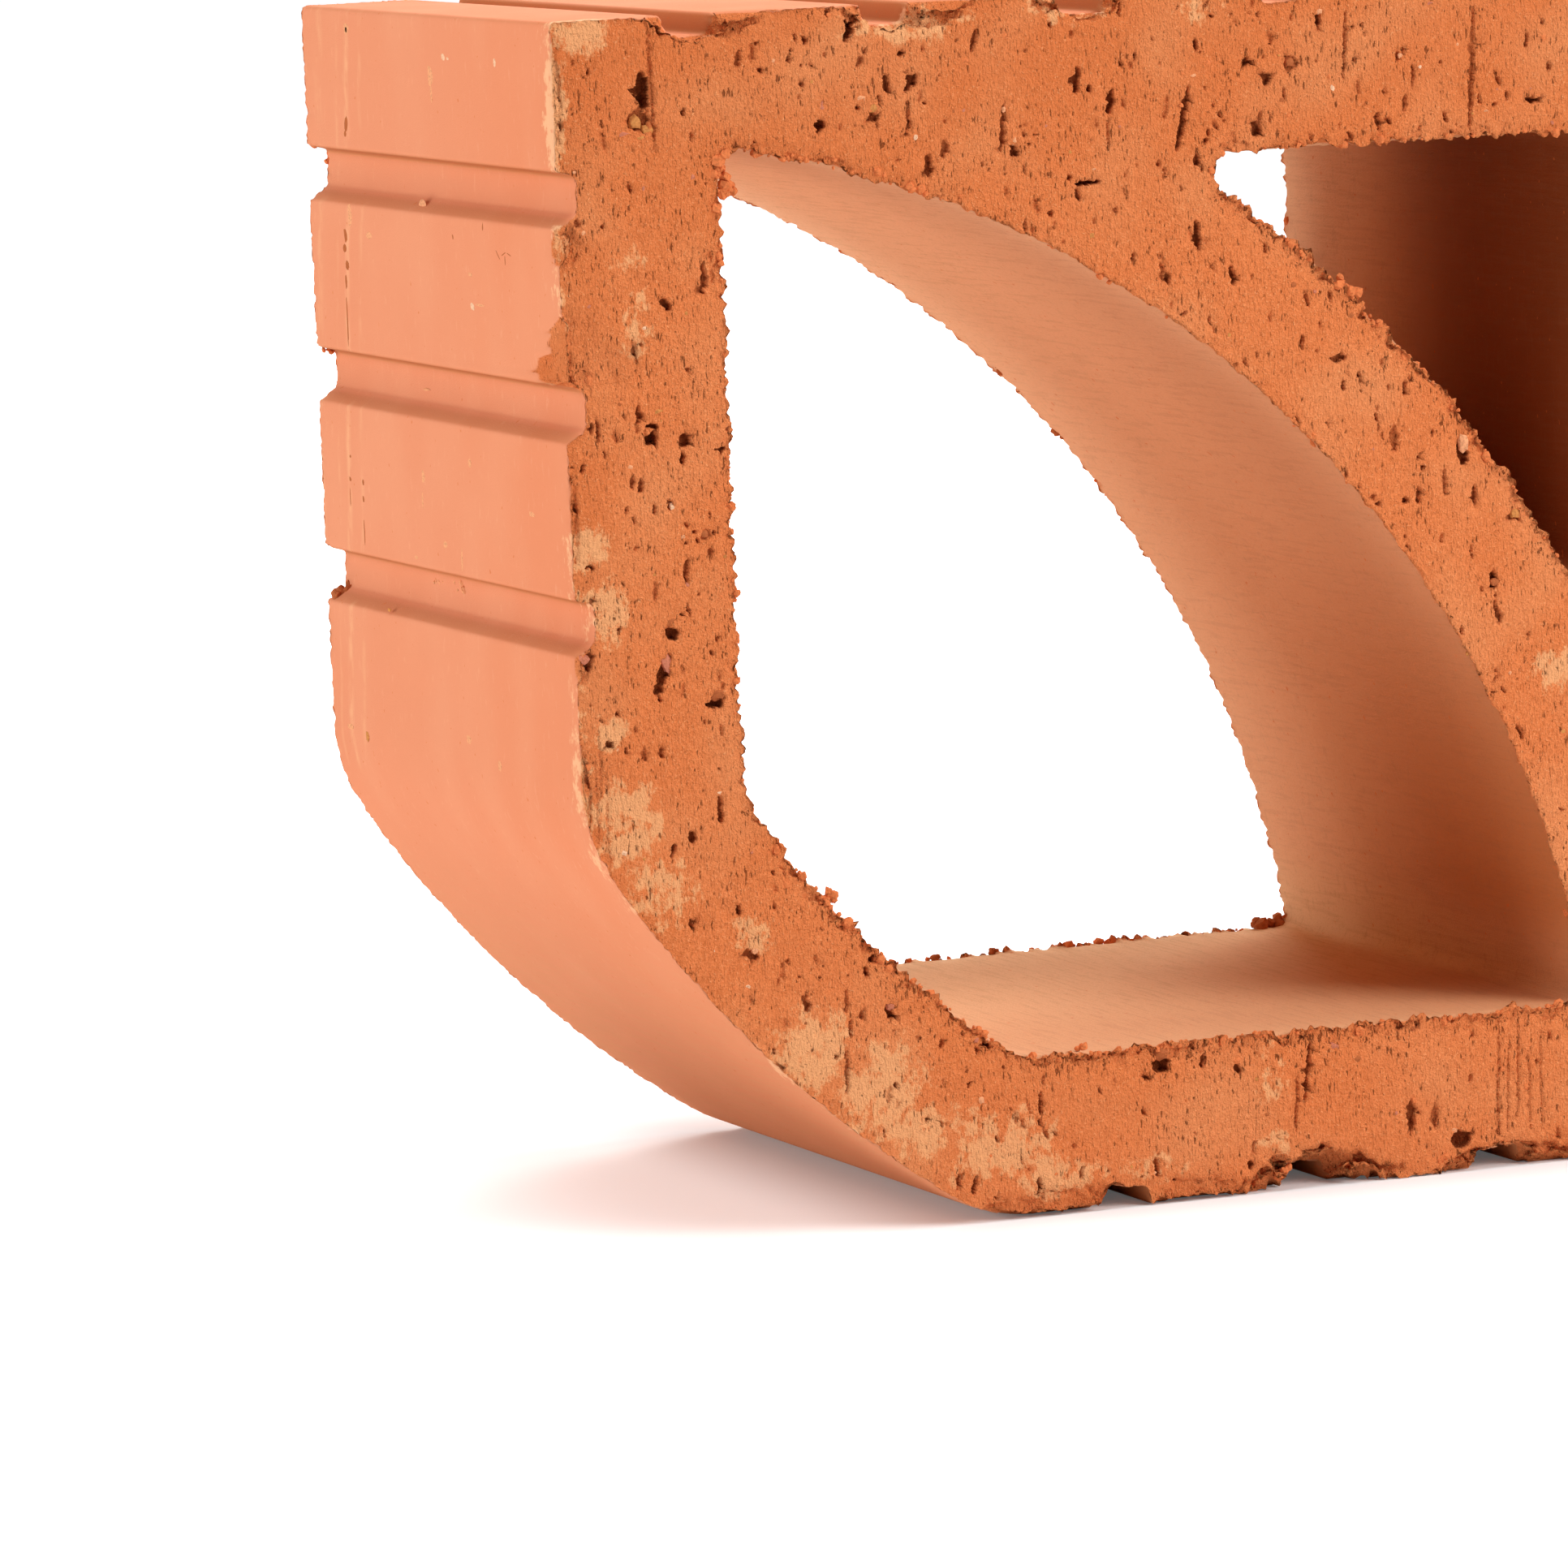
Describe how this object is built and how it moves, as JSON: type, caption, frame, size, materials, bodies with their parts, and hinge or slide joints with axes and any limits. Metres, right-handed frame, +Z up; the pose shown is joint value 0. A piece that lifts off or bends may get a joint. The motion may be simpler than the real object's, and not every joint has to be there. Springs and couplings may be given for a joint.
{
  "type": "breeze block",
  "caption": "Square pierced block of fired clay with an arched band across it, a bowed cut-off corner and mortar grooves on its sides, laid in rows as an open screen wall.",
  "frame": {"origin": "middle of the block's footprint on the floor", "axes": "+Z up, +X to the block's right seen from the front, +Y along the holes from the front face to the back face"},
  "size_m": [0.2, 0.12, 0.2],
  "materials": {
    "fired_clay": "unglazed fired clay, matt, rough on the two wire-cut faces and smooth on the extruded sides"
  },
  "bodies": {
    "root": {"breeze_block": "fired_clay"}
  },
  "joints": []
}
